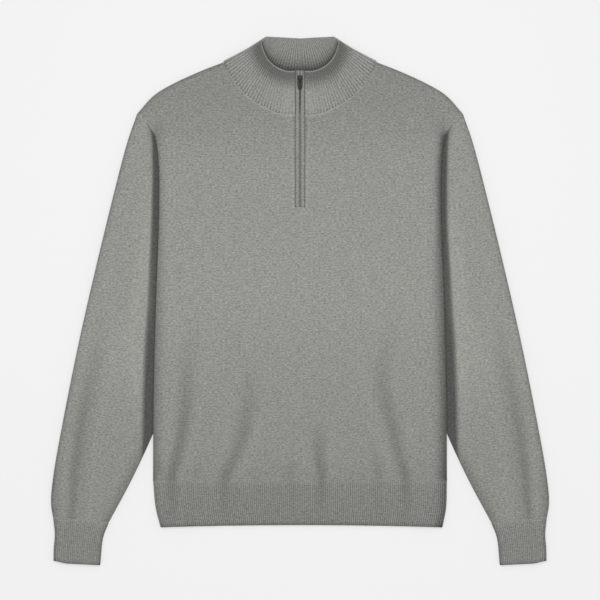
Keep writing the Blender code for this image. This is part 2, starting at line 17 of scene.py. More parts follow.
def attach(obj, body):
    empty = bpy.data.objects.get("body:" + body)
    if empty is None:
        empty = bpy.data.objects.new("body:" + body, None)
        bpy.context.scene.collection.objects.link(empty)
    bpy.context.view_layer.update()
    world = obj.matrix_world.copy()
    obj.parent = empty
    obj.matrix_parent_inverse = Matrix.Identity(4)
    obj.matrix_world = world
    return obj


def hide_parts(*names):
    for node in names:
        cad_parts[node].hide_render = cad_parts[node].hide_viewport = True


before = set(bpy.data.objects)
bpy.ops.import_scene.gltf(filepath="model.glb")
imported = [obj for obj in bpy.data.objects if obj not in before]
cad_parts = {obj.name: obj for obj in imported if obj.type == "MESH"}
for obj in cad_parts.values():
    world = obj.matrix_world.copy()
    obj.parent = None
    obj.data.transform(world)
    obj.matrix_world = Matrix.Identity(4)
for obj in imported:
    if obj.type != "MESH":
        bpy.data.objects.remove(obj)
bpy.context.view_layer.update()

MM = 0.001

# ---------------------------------------------------------------- measurements

KNIT_WALL = 1.8
RIB_WALL = 2.2
COLLAR_WALL = 3.0
WELT_WALL = 1.5
TAPE_WALL = 0.6
SEAM_GAP = 0.3
RIM_ROWS = 5                # rows of a cloth's rounded lower edge
ROWS_DOWN = 0.9             # power that draws the ribs' rows a little closer at the edge

FRONT_TOP = 5.8
SIDE_TOP = 7.2
SLEEVE_TUCKED = 4.0
SLEEVE_FREE = 7.5
SLEEVE_SET_IN = 5.8
CUFF_TOP = 6.6
BODY_LIFT = 4.4

HEM_HALF = 220.5
HEM_SEAM_Y = -271.0
HEM_BOTTOM_Y = -337.8
HEM_CORNER_DROP = 3.4
HEM_SPREAD = 4.5            # how much further the hem's right end reaches at its lower edge
PLACKET_BOTTOM_Y = 139.5
SLOT_HALF = 7.3
WELT_OUTER = 6.95
TAPE_INNER = 1.6
TEETH_CLOSED_Y = 329        # above this the slider holds the teeth apart
TEETH_TOP_Y = 333
TOOTH_PITCH = 1.9
TOOTH_SIZE = (1.9, 0.95, 1.1)

SHOULDER = ((114, 357), (152, 342), (191, 324), (220, 306), (244.5, 279))
SLIT_TOP = (225, 260)
ARMHOLE = ((244.5, 279), (234.8, 269.5), SLIT_TOP, (216.5, 244), (209.5, 228), (190, 160),
           (150, 85), (125, 45))
BODY_SIDE = ((HEM_HALF, HEM_SEAM_Y), (219.5, -137), (216, 0), (212, 110), (211.5, 190), (216, 240),
             SLIT_TOP)
HEM_SIDE = ((HEM_HALF, HEM_SEAM_Y), (217, -310), (209.5, -340.5))
SLEEVE_OUTER = ((244.5, 279), (264, 219), (300, 75), (333, -69), (361.5, -213), (371.5, -275),
                (373.5, -305), (370.5, -326))
SLEEVE_INNER = ((125, 45), (180, -105), (221, -202), (252, -268.5), (287, -334))
CUFF_OUTER = ((370.4, -326.4), (368, -350), (369.5, -372), (370, -391.5))
CUFF_INNER = ((286.9, -334.4), (295.5, -358), (299.5, -395))
NECK_FRONT = ((SLOT_HALF, 277.2), (37, 282), (81, 307.5), (108.5, 343.5), (114, 357))
NECK_BACK = ((0, 330), (60, 337), (114, 357))

# Where the body lies on the tucked sleeve, read upwards: Y, X where the rise starts, X
# where it is full
LIFT_Y = (-271, -202, -105, 45, 170, 262)
LIFT_STARTS = (160, 140, 95, 45, 70, 105)
LIFT_FULL = (200, 178, 135, 80, 130, 150)
LIFT_TOP_Y = (242, 262)
LIFT_BOTTOM_Y = (-264, -214)

# Collar rims and folds: x, y, z
RIM_FRONT = ((7.6, 342, 36), (22.5, 342.9, 35), (36.5, 349.3, 32), (47, 358.6, 27.5),
             (53.6, 370, 21.5), (57, 381.5, 14.5), (58, 389, 9))
COLLAR_FOLD_SEAM = ((114.3, 358.2, 4.2), (108.6, 356.2, 0))
COLLAR_FOLD_RIM = ((55.4, 391.8, 4.4), (51.5, 395, 0))
RIM_BACK = ((51.5, 395, 0), (27, 394, 0), (0, 392.4, 0))
COLLAR_SEAM_TOP = (5.8, 8.0)
COLLAR_RISE = 1.6
COLLAR_WAIST = 2.6          # how far the folds at the collar's sides draw in

# Creases pressed into the cloth: line from top to bottom, half width, depth, shade
Crease = namedtuple("Crease", "line width depth dark")
BODY_CREASES = (
    Crease(((-158, -10), (-168, -105), (-175, -190), (-193, -268)), 17, 1.6, 0.24),
    Crease(((-68, -70), (-79, -165), (-91, -217), (-113, -268)), 18, 1.6, 0.20),
    Crease(((23, -165), (28, -225), (33, -268)), 15, 1.3, 0.21),
    Crease(((156, 5), (123, -100), (138, -190), (159, -268)), 17, 1.6, 0.20),
    Crease(((-14, -225), (-12, -268)), 12, 0.5, 0.09),
    Crease(((112, -212), (118, -268)), 12, 0.7, 0.11),
)
SLEEVE_CREASES = (
    Crease(((295, 10), (304, -75), (322, -150), (334, -225), (343, -322)), 14, 1.8, 0.24),
    Crease(((294, -20), (301, -110), (316, -200), (328, -300)), 14, 0.4, 0.08),
)

RIB_PITCH = 3.15
COLLAR_PITCH = 5.0
CURVE_STEPS = 24            # points of a smooth line to each span of its table
CRISP_ANGLE = radians(55)   # a sharper bend than this is drawn as an edge


# ---------------------------------------------------------------- curves and heights

def smooth(x):
    """0 below 0, 1 above 1 and a soft step between."""
    x = np.clip(x, 0, 1)
    return x * x * (3 - 2 * x)


def step_between(limits, x):
    return smooth((x - limits[0]) / (limits[1] - limits[0]))


def mix(a, b, t):
    return a + (b - a) * t


def near(away, width):
    """1 at a place, fading out on both sides of it."""
    return np.exp(-(away / width) ** 2)


def curve(rows, fine=CURVE_STEPS):
    """Points on a smooth line through the rows of a table."""
    p = np.array(rows, float)
    p = np.vstack([2 * p[0] - p[1], p, 2 * p[-1] - p[-2]])
    t = (np.arange(fine) / fine)[:, None]
    found = []
    for i in range(len(rows) - 1):
        a, b, c, d = p[i:i + 4]
        found.append(0.5 * (2 * b + (c - a) * t + (2 * a - 5 * b + 4 * c - d) * t ** 2
                            + (3 * b - a - 3 * c + d) * t ** 3))
    return np.vstack(found + [p[-2:-1]])


def lengths(points):
    """Length run along a line of points, from 0."""
    steps = np.linalg.norm(np.diff(points, axis=0), axis=1)
    return np.concatenate([[0.0], np.cumsum(steps)])


class Line:
    """A smooth line through a table's points, read by share of length, by Y or by X."""

    def __init__(self, rows):
        self.points = curve(rows)
        self.reach = lengths(self.points)

    def at(self, share):
        goal = np.asarray(share, float) * self.reach[-1]
        return np.stack([np.interp(goal, self.reach, c) for c in self.points.T], -1)

    def x_at(self, y):
        order = np.argsort(self.points[:, 1])
        return np.interp(y, self.points[order, 1], self.points[order, 0])

    def y_at(self, x):
        order = np.argsort(self.points[:, 0])
        return np.interp(x, self.points[order, 0], self.points[order, 1])

    def outward(self, share):
        run = self.at(np.minimum(1, share + 0.01)) - self.at(np.maximum(0, share - 0.01))
        run = run / np.linalg.norm(run, axis=-1, keepdims=True)
        return np.stack([-run[..., 1], run[..., 0]], -1)


shoulder = Line(SHOULDER)
armhole = Line(ARMHOLE)
body_side = Line(BODY_SIDE)
hem_side = Line(HEM_SIDE)
sleeve_outer = Line(SLEEVE_OUTER)
sleeve_inner = Line(SLEEVE_INNER)
neck_front = Line(NECK_FRONT)
neck_back = Line(NECK_BACK)
ARMHOLE_SHOWS = armhole.reach[ARMHOLE.index(SLIT_TOP) * CURVE_STEPS] / armhole.reach[-1]


def side_hold(y):
    """1 where the body's side is a rounded fold, 0 at the armhole seam."""
    return 1 - step_between(LIFT_TOP_Y, y)


def lift(x, y):
    """How far the tucked sleeve carries the body off the surface."""
    limits = (np.interp(y, LIFT_Y, LIFT_STARTS), np.interp(y, LIFT_Y, LIFT_FULL))
    held = side_hold(y) * step_between(LIFT_BOTTOM_Y, y)
    return BODY_LIFT * step_between(limits, abs(x)) * held


def crease(fold, x, y):
    """Depth share of one crease at a place: 1 in its trough and slightly below 0 beside it.

    A crease is deepest and narrowest at its lower end and runs out upwards.
    """
    line = curve(fold.line)[::-1]
    bottom, top = line[0, 1], line[-1, 1]
    centre = np.interp(y, line[:, 1], line[:, 0])
    fade = smooth((top - y) / (0.75 * (top - bottom)))
    spread = mix(0.72, 1.3, np.clip((y - bottom) / (top - bottom), 0, 1))
    away = (x - centre) / (fold.width * spread)
    return fade * (1 - 1.1 * away * away) * np.exp(-away * away)


def waviness(x, y):
    """Slight unevenness of cloth laid by hand."""
    return (0.16 * np.sin(x / 23 + 1.3 * np.sin(y / 61)) * np.cos(y / 47 + 0.6)
            + 0.10 * np.sin(x / 11 + y / 37 + 2.1) + 0.08 * np.cos(y / 13 - x / 29))


def body_top(x, y):
    """Outer face of the front of the body."""
    side = step_between((120, 200), abs(x)) * side_hold(y)
    shown = 1 - step_between((180, 205), abs(x))
    folds = sum(-fold.depth * crease(fold, x, y) for fold in BODY_CREASES)
    return lift(x, y) + mix(FRONT_TOP, SIDE_TOP, side) + (folds + waviness(x, y)) * shown


def body_shade(x, y):
    """Share of the light that reaches the front of the body."""
    folds = sum(fold.dark * crease(fold, x, y) for fold in BODY_CREASES)
    down = 1 - step_between((0, 150), y)
    deep = np.where(x > 0, mix(0.64, 0.58, down), mix(0.24, 0.32, down))
    reach = np.where(x > 0, mix(7.5, 12.0, down), mix(7.0, 10.0, down))
    edge = deep * near(body_side.x_at(y) - abs(x), reach) * side_hold(y)
    by_hem = 0.07 * near(y - HEM_SEAM_Y, 25.0)
    low = 0.09 * step_between((60, -260), y)
    high = 0.16 * step_between((180, 330), y)
    glow = 0.03 * near(y - 10, 90.0)
    by_slit = 0.12 * near(abs(x) - 214, 11.0) * near(y - 256, 14.0)
    return 1 + glow - folds - edge - by_hem - low - high - by_slit


# ---------------------------------------------------------------- cloth meshes

def add_object(name, data):
    thing = bpy.data.objects.new(name, data)
    bpy.context.scene.collection.objects.link(thing)
    return thing


def cloth(name, points, uv, shade, look, loop_u=False, loop_v=False, wall=None,
          up=1, drop=None):
    """One piece of cloth from a grid whose points are worked out in millimetres.

    loop_u and loop_v join the grid's ends. wall gives a grid its thickness, and up says
    which way its outer face looks, 0 for a tube. drop leaves cells of the grid out.
    """
    rows, columns = points.shape[:2]
    bm = bmesh.new()
    bmesh.ops.create_grid(bm, x_segments=columns - 1, y_segments=rows - 1, size=1)
    mesh = bpy.data.meshes.new(name)
    bm.to_mesh(mesh)
    bm.free()
    mesh.vertices.foreach_set("co", (points.reshape(-1, 3) * MM).astype(np.float32).ravel())
    corner = np.empty(len(mesh.loops), np.int32)
    mesh.loops.foreach_get("vertex_index", corner)
    layer = mesh.uv_layers[0] if mesh.uv_layers else mesh.uv_layers.new()
    layer.name = "cloth"
    layer.uv.foreach_set("vector", (uv.reshape(-1, 2) * MM)[corner].astype(np.float32).ravel())
    # The shade attribute is painted shade and painted highlight for each point, which the
    # materials multiply into the base colour.
    store = mesh.attributes.new("shade", "FLOAT", "POINT")
    tones = np.broadcast_to(shade, points.shape[:2]).astype(np.float32)
    store.data.foreach_set("value", tones.ravel())
    bm = bmesh.new()
    bm.from_mesh(mesh)
    if drop is not None:
        bm.faces.ensure_lookup_table()
        gone = [f for f in bm.faces if drop(f.index // (columns - 1), f.index % (columns - 1))]
        bmesh.ops.delete(bm, geom=gone, context="FACES")
    if loop_u or loop_v:
        edge = [v for v in bm.verts if v.is_boundary]
        bmesh.ops.remove_doubles(bm, verts=edge, dist=2e-6)
    bmesh.ops.recalc_face_normals(bm, faces=bm.faces)
    if wall is not None and sum(f.normal.z * f.calc_area() for f in bm.faces) * up < 0:
        bmesh.ops.reverse_faces(bm, faces=bm.faces)
    if loop_v and not loop_u:
        ends = [e for e in bm.edges if e.is_boundary]
        made = bmesh.ops.holes_fill(bm, edges=ends, sides=0)
        bmesh.ops.triangulate(bm, faces=made["faces"])
        bmesh.ops.recalc_face_normals(bm, faces=bm.faces)
    for edge in bm.edges:
        edge.smooth = len(edge.link_faces) == 2 and edge.calc_face_angle(0) < CRISP_ANGLE
    bm.to_mesh(mesh)
    bm.free()
    mesh.shade_smooth()
    mesh.materials.append(look)
    thing = add_object(name, mesh)
    if wall is not None:
        shell = thing.modifiers.new("wall", "SOLIDIFY")
        shell.thickness = wall * MM
        shell.offset = -1
    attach(thing, "sweater")
    return thing


def rounded_rim(face, normal, wall, rows):
    """Rows of points that carry a face's last row over a rounded edge."""
    forward = face[-1] - face[-2]
    forward = forward / np.linalg.norm(forward, axis=-1, keepdims=True)
    radius = wall / 2
    centre = face[-1] - normal[-1] * radius
    return np.array([centre + radius * (normal[-1] * cos(a) + forward * sin(a))
                     for a in np.linspace(0, pi, rows + 2)[1:-1]])


def with_wall(outer, normal, wall):
    """Rows of an outer face carried over a rounded edge and back along an inner face."""
    inner = outer - normal * wall
    return np.concatenate([outer, rounded_rim(outer, normal, wall, RIM_ROWS), inner[::-1]])


def closed_up(rows):
    """Rows of a grid with the first one again at the end."""
    return np.concatenate([rows, rows[:1]])


# ---------------------------------------------------------------- body

Panel = namedtuple("Panel", "up roll_side roll_shoulder start neck")
NECK_SHARE = 0.42           # share of the half width that the neckline takes
SLIT_LEVEL = 0.785          # share of the upper body's height where the side meets the slit
SIDE_SPAN = 205             # half width that the side's rounding is a share of
FRONT = Panel(1, 4.0, 2.8, SLOT_HALF, neck_front)
BACK = Panel(-1, 2.9, 2.5, 0.0, neck_back)


def rounding(radius, steps):
    """Angles over a rounded edge, and how far in from the edge each of them lies."""
    roll = 90 * (1 - np.arange(steps + 1) / steps)
    return roll, radius * (1 - np.cos(np.radians(roll)))


def tucked(radius, angle):
    """How far a rounded edge falls away from the flat at an angle."""
    return (1 - np.sin(np.radians(angle))) * radius


def with_rounded_side(panel, share, steps):
    """Shares of the half width, with those of the rounded side, and each column's angle."""
    roll, inset = rounding(panel.roll_side, steps)
    return (np.append(share, 1 - inset / SIDE_SPAN),
            np.append(np.full(len(share), 90.0), roll))


def half_columns(panel, neck_count, shoulder_count, roll_steps):
    """Shares of the half width and the angle that each column has on the rounded side."""
    share = np.concatenate([np.arange(neck_count) / neck_count * NECK_SHARE,
                            mix(NECK_SHARE, 1 - panel.roll_side / SIDE_SPAN,
                                np.arange(shoulder_count) / shoulder_count)])
    return with_rounded_side(panel, share, roll_steps)


def top_edge(panel, share):
    """Neckline and shoulder line over each column."""
    neck = share <= NECK_SHARE
    low = np.minimum(share / NECK_SHARE, 1)
    high = np.clip((share - NECK_SHARE) / (1 - NECK_SHARE), 0, 1)
    return np.where(neck[:, None], panel.neck.at(low), shoulder.at(high))


def side_edge(level):
    """Side fold, and above the slit the armhole seam, at levels of the upper body."""
    y = mix(PLACKET_BOTTOM_Y, SLIT_TOP[1], np.minimum(level / SLIT_LEVEL, 1))
    fold = np.stack([body_side.x_at(y), y], -1)
    seam = armhole.at(np.clip((1 - level) / (1 - SLIT_LEVEL), 0, 1) * ARMHOLE_SHOWS)
    return np.where((level <= SLIT_LEVEL)[..., None], fold, seam)


def half_panel(panel, columns, low_rows, high_rows, roll_steps=4):
    """Plan places of half a panel from the hem seam up, and how far its edges round off."""
    share, angle = columns
    low_y = mix(HEM_SEAM_Y, PLACKET_BOTTOM_Y, np.arange(low_rows) / low_rows)
    low_x = mix(panel.start, body_side.x_at(low_y)[:, None], share[None, :])
    low = np.stack([low_x, np.repeat(low_y[:, None], len(share), 1)], -1)

    edge = top_edge(panel, share)
    reach = edge[:, 1] - PLACKET_BOTTOM_Y
    flat = (np.arange(high_rows) / high_rows)[:, None] * (1 - panel.roll_shoulder / reach)
    roll, inset = rounding(panel.roll_shoulder, roll_steps)
    level = np.concatenate([flat, 1 - inset[:, None] / reach])
    corner, tip = side_edge(np.array(0.0)), np.array(SHOULDER[-1], float)
    bottom = np.stack([mix(panel.start, corner[0], share),
                       np.full(len(share), PLACKET_BOTTOM_Y)], -1)
    place = bottom + (edge - bottom) * level[..., None]
    straight = corner + (tip - corner) * level[..., None]
    high = place + (side_edge(level) - straight) * share[None, :, None]

    plan = np.concatenate([low, high])
    y = plan[..., 1]
    top_angle = np.full(y.shape, 90.0)
    top_angle[-roll_steps - 1:, share > NECK_SHARE] = roll[:, None]
    bend = tucked(panel.roll_side, angle)[None, :] * side_hold(y)
    bend += tucked(panel.roll_shoulder, top_angle)
    return plan, bend, share


def both_sides(values, middle=0):
    """Half rows from the middle out made whole, with extra columns across the middle."""
    left = values[:, ::-1].copy()
    if values.ndim == 3:
        left[..., 0] *= -1
    if middle:
        fill = [left[:, -1:] + (values[:, :1] - left[:, -1:]) * k / middle
                for k in range(1, middle)]
        return np.concatenate([left] + fill + [values], 1)
    return np.concatenate([left[:, :-1], values], 1)


def top_row_y(plan):
    """Y of the panel's upper edge over each of its columns, for every row."""
    return np.repeat(plan[-1:, :, 1], len(plan), 0)


def make_front(look):
    """The front panel, its slot cut from the neckline down to the placket's foot."""
    low_rows, high_rows, slot_cells = 124, 64, 6
    columns = half_columns(FRONT, 30, 40, 5)
    plan, bend, share = half_panel(FRONT, columns, low_rows, high_rows)
    middle = len(share) - 1
    plan, bend = both_sides(plan, slot_cells), both_sides(bend, slot_cells)
    share = both_sides(np.repeat(share[None, :], len(plan), 0), slot_cells)
    x, y = plan[..., 0], plan[..., 1]
    beside = np.abs(x) - SLOT_HALF
    above = step_between((PLACKET_BOTTOM_Y - 3, PLACKET_BOTTOM_Y + 1), y) * (beside > -0.1)
    lip = 0.5 * near(beside - 2.2, 1.5) - 0.7 * (1 - step_between((0, 1.2), beside))
    armhole_seam = near((1 - share) * SIDE_SPAN, 1.6) * (1 - side_hold(y))
    to_top = top_row_y(plan) - y
    neck_seam = near(to_top, 2.2) * (share <= NECK_SHARE)
    shoulder_edge = near(to_top, 3.0) * (share > NECK_SHARE)
    z = body_top(x, y) - bend + lip * above + 0.45 * armhole_seam + 0.5 * neck_seam
    # Painted shade and painted highlight on the front: shade in the groove beside the slot and
    # along the shoulder edge, highlights on the lip, along the raised armhole and neck seams and
    # just above the hem seam.
    shade = (body_shade(x, y) - 0.22 * above * near(beside, 1.6)
             + 0.13 * above * near(beside - 3.0, 1.4) + 0.16 * armhole_seam
             + 0.38 * neck_seam - 0.24 * shoulder_edge + 0.05 * near(y - HEM_SEAM_Y - 1, 1.5))
    points = np.concatenate([plan, z[..., None]], -1)
    piece = cloth("front_panel_cloth", points, points[..., :2], shade, look,
                  wall=KNIT_WALL, up=1,
                  drop=lambda r, c: middle <= c < middle + slot_cells and r >= low_rows)
    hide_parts("front_panel")
    return piece


def make_back(look):
    """The back panel, plain, with its edges rounded up to meet the front."""
    columns = half_columns(BACK, 22, 32, 4)
    plan, bend, _ = half_panel(BACK, columns, 70, 40)
    plan, bend = both_sides(plan), both_sides(bend)
    x, y = plan[..., 0], plan[..., 1]
    relief = 0.25 * waviness(x * 1.3, y * 0.9) * (lift(x, y) > 0.5)
    z = lift(x, y) + bend + np.where(bend > 0, 0, np.maximum(relief, 0))
    shade = 1 - 0.12 * near(body_side.x_at(y) - np.abs(x), 8.0)
    points = np.concatenate([plan, z[..., None]], -1)
    piece = cloth("back_panel_cloth", points, points[..., :2], shade, look,
                  wall=KNIT_WALL, up=-1)
    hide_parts("back_panel")
    return piece


def rib(run, pitch):
    """Height share of a rib, from 0 in the groove to 1 on its rounded top."""
    return (0.5 - 0.5 * np.cos(2 * pi * run / pitch)) ** 0.6


def make_hem(name, panel, node, look):
    """Half of the ribbed hem, with real ribs and a rounded lower edge."""
    per_rib, rows, roll_steps = 5, 22, 6
    flat_count = int((HEM_HALF - panel.roll_side) / RIB_PITCH * per_rib)
    flat = np.arange(flat_count) / flat_count * (1 - panel.roll_side / SIDE_SPAN)
    share, angle = with_rounded_side(panel, flat, roll_steps)
    sign = np.concatenate([-np.ones(len(share) - 1), np.ones(len(share))])
    share = np.concatenate([share[:0:-1], share])
    angle = np.concatenate([angle[:0:-1], angle])
    level = (np.linspace(0, 1, rows) ** ROWS_DOWN)[:, None]
    bottom = HEM_BOTTOM_Y - HEM_CORNER_DROP * share * share
    y = mix(HEM_SEAM_Y + 0.1, bottom + RIB_WALL / 2, level)
    x = (hem_side.x_at(y) + HEM_SPREAD * level * (sign > 0)) * share * sign
    surface = body_top(x, y) if panel.up > 0 else lift(x, y)
    tuck = tucked(panel.roll_side, angle)[None, :]
    out = np.stack([np.repeat((sign * np.cos(np.radians(angle)))[None, :], rows, 0),
                    np.zeros_like(x),
                    np.repeat(panel.up * np.sin(np.radians(angle))[None, :], rows, 0)], -1)
    ridge = rib(share * HEM_HALF, RIB_PITCH)[None, :]
    grow = 0.4 + 0.6 * step_between((0, 0.10), level)
    depth = 0.7 * grow * (1 - ridge)
    nip = 0.05 * (1 - step_between((0, 0.05), level))
    if panel.up < 0:
        depth, nip = depth * 0.35, nip * 0.3
    outer = np.stack([x, y, surface - panel.up * tuck], -1) - out * (depth + nip)[..., None]
    if panel.up < 0:
        outer[..., 2] = np.maximum(outer[..., 2], 0)
    folds = sum(fold.dark * 0.7 * crease(fold, x, y) * (1 - level) for fold in BODY_CREASES)
    by_side = (np.where(sign > 0, 0.40, 0.18)
               * near((1 - share) * HEM_HALF, np.where(sign > 0, 11.0, 7.0)))
    shade = (0.96 - 0.36 * (1 - ridge) * grow - 0.04 * level
             - 0.28 * step_between((0.93, 1), level) - folds - by_side)
    rim_shade = np.full((RIM_ROWS, shade.shape[1]), 0.66)
    shade = closed_up(np.concatenate([shade, rim_shade, shade[::-1] * 0.75]))
    points = closed_up(with_wall(outer, out, RIB_WALL))
    edge_y = outer[-1, 0, 1]
    along = np.concatenate([outer[:, 0, 1], edge_y - np.arange(1, RIM_ROWS + 1) * 0.6,
                            edge_y - 4 - (outer[::-1, 0, 1] - edge_y), [outer[0, 0, 1] + 2]])
    uv = np.stack([points[..., 0], np.repeat(along[:, None], points.shape[1], 1)], -1)
    piece = cloth(name, points, uv, shade, look, loop_v=True)
    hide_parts(node)
    return piece


# ---------------------------------------------------------------- sleeves and cuffs

# The dip beside the body, read upwards: Y, width of its floor and of its bank
VALLEY_Y = (-230, -200, -75, 0, 150, 220, 257)
VALLEY_FLOOR = (9, 10, 10, 8, 6.8, 5.5, 1.5)
VALLEY_BANK = (11, 10, 9, 7, 5.5, 4.5, 3)
CREST_BEYOND = 3            # how far past the bank the sleeve is fullest
SLIT_FADE = 8.0
UPPER_STEPS = 73            # points over a ring's upper face, shared out between its parts
UPPER_SHARES = (0, 2.3, 3.2, 3.5, 4)
CROSSING_PROBES = 900
SLEEVE_LEAN = radians(11)   # the knit's columns run down the sleeve
SLEEVE_TURN = np.array([[cos(SLEEVE_LEAN), -sin(SLEEVE_LEAN)],
                        [sin(SLEEVE_LEAN), cos(SLEEVE_LEAN)]])


def free_of_body(x, y, side):
    """0 where the sleeve is pressed under the body, 1 where it lies free beside it.

    Also the distance out from the body's side.
    """
    away = x - body_side.x_at(y)
    floor, bank = np.interp(y, VALLEY_Y, VALLEY_FLOOR), np.interp(y, VALLEY_Y, VALLEY_BANK)
    if side > 0:
        floor = floor - 2.2 * near(y - 110, 60.0)
    above_slit = smooth((y - SLIT_TOP[1] + SLIT_FADE) / SLIT_FADE)
    return np.maximum(above_slit, smooth((away - floor) / bank)), away


def sleeve_place(down, distance):
    """Plan places at distances across the sleeve, from its outer edge to its inner one."""
    outer_end, inner_end = sleeve_outer.at(down), sleeve_inner.at(down)
    share = np.asarray(distance) / np.linalg.norm(inner_end - outer_end)
    found = outer_end + (inner_end - outer_end) * share[..., None]
    straight = np.array(ARMHOLE[0]) + (np.array(ARMHOLE[-1]) - ARMHOLE[0]) * share[..., None]
    under = smooth((share - 0.05) / 0.08) * (1 - smooth((share - 0.3) / 0.2))
    seam = armhole.at(share) + armhole.outward(share) * mix(0.15, -2.0, under)[..., None]
    return found + (seam - straight) * (1 - smooth(down / 0.3))


def dip_across(down, width, full):
    """Widths of the dip's floor and bank at one ring, and where the ring's upper points go.

    The points are closest together on the dip's bank.
    """
    first, last = full / 2, width - SLEEVE_FREE / 2
    probe = np.linspace(0, width, CROSSING_PROBES)
    spots = sleeve_place(down, probe)
    inside = np.nonzero(spots[:, 0] < body_side.x_at(spots[:, 1]))[0]
    crossing = min(last, probe[inside[0]]) if len(inside) else last
    cross_y = float(sleeve_place(down, crossing)[1])
    floor_width = float(np.interp(cross_y, VALLEY_Y, VALLEY_FLOOR))
    bank_width = float(np.interp(cross_y, VALLEY_Y, VALLEY_BANK))
    bank = max(first + 4, crossing - floor_width - bank_width - 2)
    floor = max(bank + 4, crossing - floor_width)
    edge = max(crossing, floor + 1)
    ends = [first, bank, floor, edge, max(last, edge + 2)]
    steps = np.linspace(0, UPPER_SHARES[-1], UPPER_STEPS)
    return floor_width, bank_width, np.interp(steps, UPPER_SHARES, ends)[1:-1]


def sleeve_low(y):
    """How much darker the whole sleeve gets towards the cuff."""
    return 0.08 * step_between((0, -260), y)


def sleeve_shade(spots, away, crest, floor_width, bank_width, side, from_inner):
    """Share of the light that reaches the upper face of one ring of a sleeve."""
    x, y = spots[:, 0], spots[:, 1]
    in_dip = 1 - free_of_body(x, y, side)[0]
    bank_tone = 1 - smooth((away - floor_width + 1) / (bank_width + 4))
    dip = 0.74 * (0.62 * in_dip + 0.38 * bank_tone)
    dip = dip * (1 - step_between((250, 264), y)) * (x > 150)
    folds = sum(f.dark * crease(f, x, y) for f in SLEEVE_CREASES)
    rim = sleeve_outer.x_at(y) - x
    broad = 0.12 * step_between((-225, -290), y) - 0.07 * near(y + 60, 40.0)
    by_rim = 0.09 * near(rim, 9.0) + 0.22 * near(rim, 2.6) + broad * near(rim, 12.0)
    by_inner = 0.27 * near(from_inner, 11.0) * (away > 0) * step_between((-150, -260), y)
    light = (0.30 * near(away - crest, 12.0) * near(y + 10, 115.0)
             + 0.08 * near(x - 268, 20.0) * near(y + 90, 60.0))
    return 1 - dip - folds - by_rim - by_inner + light - sleeve_low(y)


def make_sleeve(name, side, node, look):
    """A flattened tube from the armhole to the cuff seam, its inner part under the body."""
    rings, arc_steps, lower_steps = 150, 7, 32
    loops, uvs, shades = [], [], []
    for down in np.arange(rings) / (rings - 1):
        width = np.linalg.norm(sleeve_inner.at(down) - sleeve_outer.at(down))
        full = mix(SLEEVE_SET_IN, SLEEVE_FREE, smooth(down / 0.12))
        full = mix(full, CUFF_TOP, smooth((down - 0.85) / 0.15))
        floor_width, bank_width, across = dip_across(down, width, full)
        spots = sleeve_place(down, across)
        free, away = free_of_body(spots[:, 0], spots[:, 1], side)
        folds = sum(-f.depth * crease(f, spots[:, 0], spots[:, 1]) for f in SLEEVE_CREASES)
        crest = floor_width + bank_width + CREST_BEYOND
        swell = near(away - crest, 7.0) * smooth(down / 0.1) * smooth((0.66 - down) / 0.25)
        crown = full + folds + waviness(spots[:, 0] * 1.1, spots[:, 1]) + swell
        height = mix(SLEEVE_TUCKED, crown, free)
        end_free, _ = free_of_body(*sleeve_place(down, width), side)
        end_height = mix(SLEEVE_TUCKED, full, float(end_free))
        swing = np.radians(np.linspace(-90, 90, arc_steps))
        ends = []
        for base, sign, tall in ((0.0, 1, full), (width, -1, end_height)):
            ends.append((base + sign * tall / 2 * (1 - np.cos(swing)),
                         tall / 2 * (1 + np.sin(swing))))
        below = np.interp(np.linspace(0, 1, lower_steps), [0, 1],
                          [width - end_height / 2, full / 2])[1:-1]
        distance = np.concatenate([ends[0][0], across, ends[1][0][::-1], below, ends[0][0][:1]])
        tall = np.concatenate([ends[0][1], height, ends[1][1][::-1], np.zeros(len(below)),
                               ends[0][1][:1]])
        spots = sleeve_place(down, distance)
        loops.append(np.concatenate([spots, tall[:, None]], -1))
        turned = spots @ SLEEVE_TURN
        uvs.append(np.stack([turned[:, 0] + tall, turned[:, 1]], -1))
        _, away = free_of_body(spots[:, 0], spots[:, 1], side)
        upper = sleeve_shade(spots, away, crest, floor_width, bank_width, side, width - distance)
        shades.append(np.where(tall > 0.5, upper, 1 - sleeve_low(spots[:, 1])))
    points, uv, shade = np.array(loops), np.array(uvs), np.array(shades)
    points[..., 0] *= side
    uv[..., 0] *= side
    piece = cloth(name, points, uv, np.clip(shade, 0.3, 1.1), look, loop_u=True,
                  wall=KNIT_WALL, up=0)
    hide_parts(node)
    return piece


def round_flat_tube(run, straight, radius):
    """Distance, height and outward direction at a length run round a flattened tube."""
    quarter = straight + pi * radius
    if run < straight:
        return radius + run, 2 * radius, 0, 1
    if run < quarter:
        t = (run - straight) / radius
        return radius + straight + radius * sin(t), radius + radius * cos(t), sin(t), cos(t)
    if run < straight + quarter:
        return radius + straight - (run - quarter), 0, 0, -1
    t = (run - straight - quarter) / radius
    return radius - radius * sin(t), radius - radius * cos(t), -sin(t), -cos(t)


